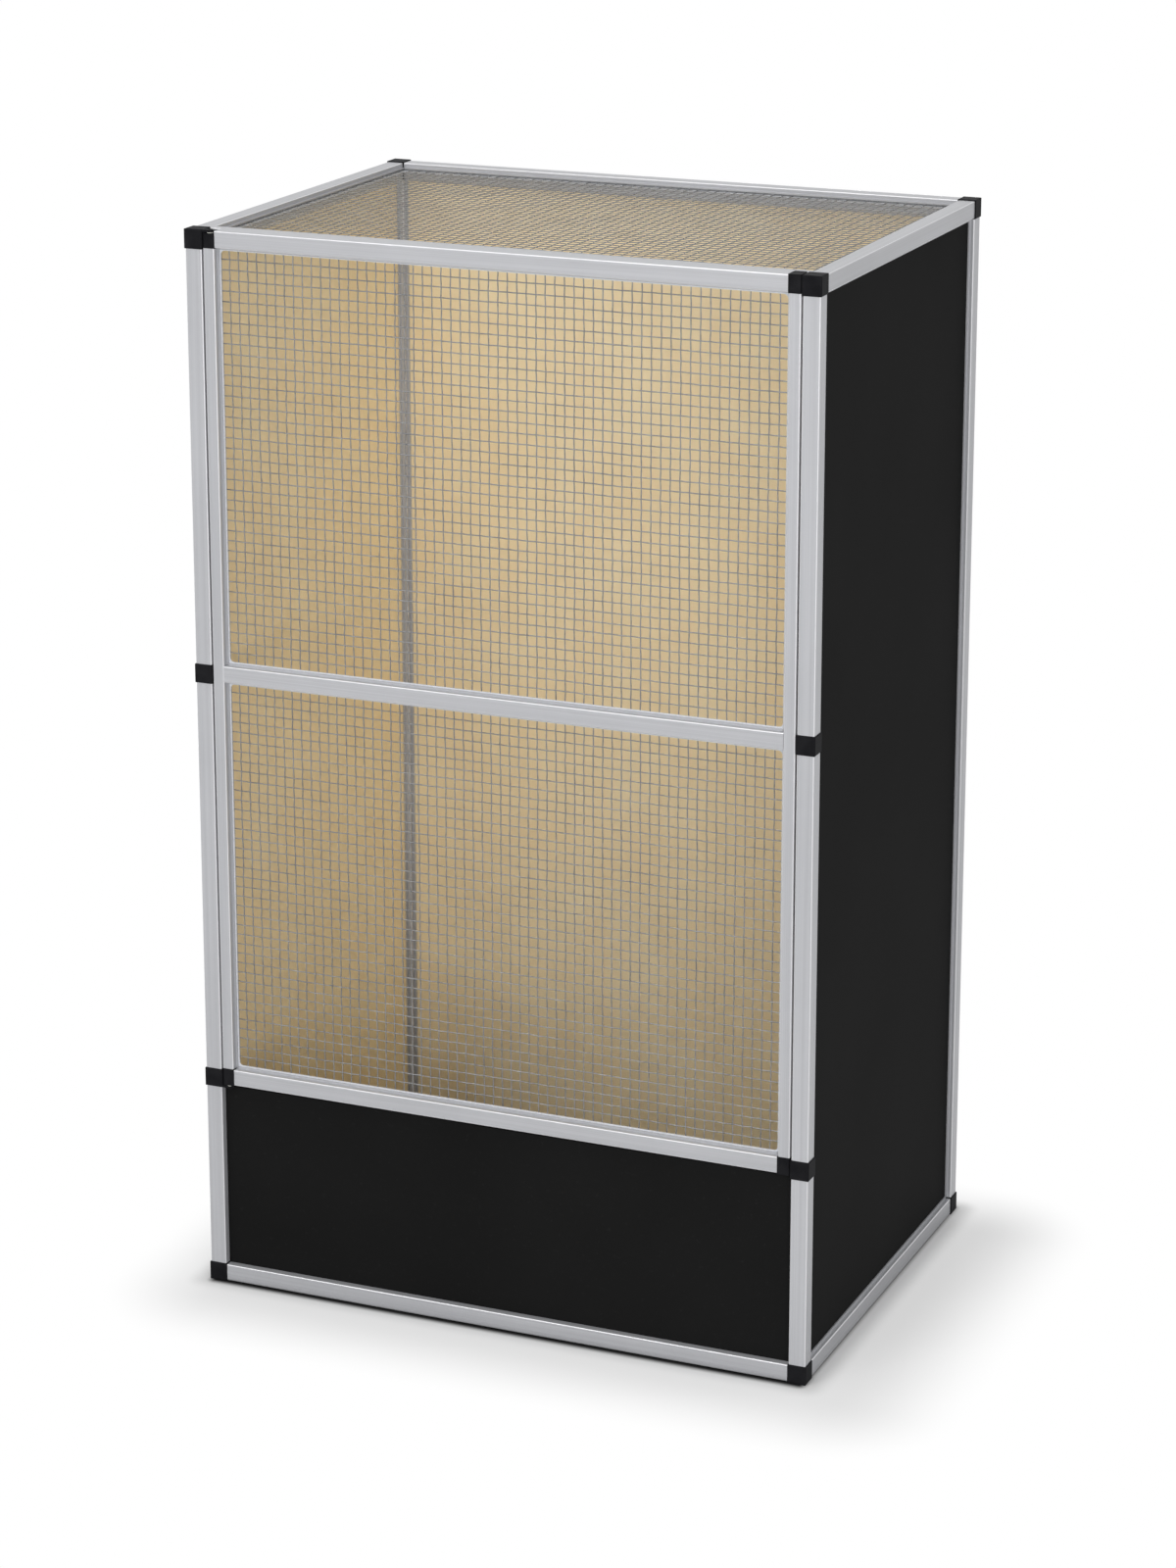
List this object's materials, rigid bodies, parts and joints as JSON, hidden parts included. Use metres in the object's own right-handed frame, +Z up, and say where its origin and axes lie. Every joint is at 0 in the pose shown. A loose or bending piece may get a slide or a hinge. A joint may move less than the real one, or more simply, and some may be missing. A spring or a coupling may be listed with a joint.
{
  "type": "mesh reptile cage",
  "caption": "Tall reptile cage: aluminium tube frame on black corner connectors, black sheet walls with cream liners, a wire mesh top and a hinged mesh front door above a solid base panel.",
  "frame": {"origin": "middle of the footprint, on the surface that the cage stands on", "axes": "+Z up along the posts, +X to the right of the door, -Y out of the door's front"},
  "size_m": [0.6, 0.435, 1.006],
  "materials": {
    "frame_aluminium": "satin anodised, fine lines along the length",
    "connector_plastic": "moulded, lightly textured",
    "black_sheet": "matt sheet",
    "cream_liner": "matt sheet",
    "mesh_wire": "galvanised wire",
    "spline_vinyl": "satin",
    "pin_steel": "bright",
    "magnet": "plated",
    "washer_nylon": "natural"
  },
  "bodies": {
    "cage": {"post_front_left_lower": "frame_aluminium", "post_front_left_middle": "frame_aluminium", "post_front_left_upper": "frame_aluminium", "post_front_right_lower": "frame_aluminium", "post_front_right_middle": "frame_aluminium", "post_front_right_upper": "frame_aluminium", "post_back_left": "frame_aluminium", "post_back_right": "frame_aluminium", "rail_bottom_front": "frame_aluminium", "rail_bottom_back": "frame_aluminium", "rail_bottom_left": "frame_aluminium", "rail_bottom_right": "frame_aluminium", "rail_top_back": "frame_aluminium", "rail_top_left": "frame_aluminium", "rail_top_right": "frame_aluminium", "header_rail": "frame_aluminium", "sill_rail": "frame_aluminium", "header_plugs": "connector_plastic", "sill_plugs": "connector_plastic", "corner_bottom_front_left": "connector_plastic", "corner_bottom_front_right": "connector_plastic", "corner_bottom_back_left": "connector_plastic", "corner_bottom_back_right": "connector_plastic", "corner_top_front_left": "connector_plastic", "corner_top_front_right": "connector_plastic", "corner_top_back_left": "connector_plastic", "corner_top_back_right": "connector_plastic", "coupler_sill_left": "connector_plastic", "coupler_sill_right": "connector_plastic", "coupler_mid_left": "connector_plastic", "coupler_mid_right": "connector_plastic", "panel_left": "black_sheet", "panel_right": "black_sheet", "panel_back": "black_sheet", "panel_front_lower": "black_sheet", "panel_floor": "black_sheet", "liner_left": "cream_liner", "liner_right": "cream_liner", "liner_back": "cream_liner", "top_mesh": "mesh_wire", "top_mesh_spline": "spline_vinyl", "hinge_pins": "pin_steel", "hinge_washers": "washer_nylon", "catch_magnets": "magnet"},
    "door": {"door_stile_left": "frame_aluminium", "door_stile_right": "frame_aluminium", "door_rail_top": "frame_aluminium", "door_rail_middle": "frame_aluminium", "door_rail_bottom": "frame_aluminium", "door_rail_plugs": "connector_plastic", "door_corner_top_left": "connector_plastic", "door_corner_top_right": "connector_plastic", "door_corner_bottom_left": "connector_plastic", "door_corner_bottom_right": "connector_plastic", "door_mesh_upper": "mesh_wire", "door_mesh_lower": "mesh_wire", "door_spline_upper": "spline_vinyl", "door_spline_lower": "spline_vinyl", "strike_plates": "pin_steel"}
  },
  "joints": [
    {"name": "door_hinge", "type": "hinge", "parent": "cage", "child": "door", "pos_m": [-0.2755, -0.2135, 0.6], "axis": [0, 0, -1], "range_deg": [0, 110]}
  ]
}
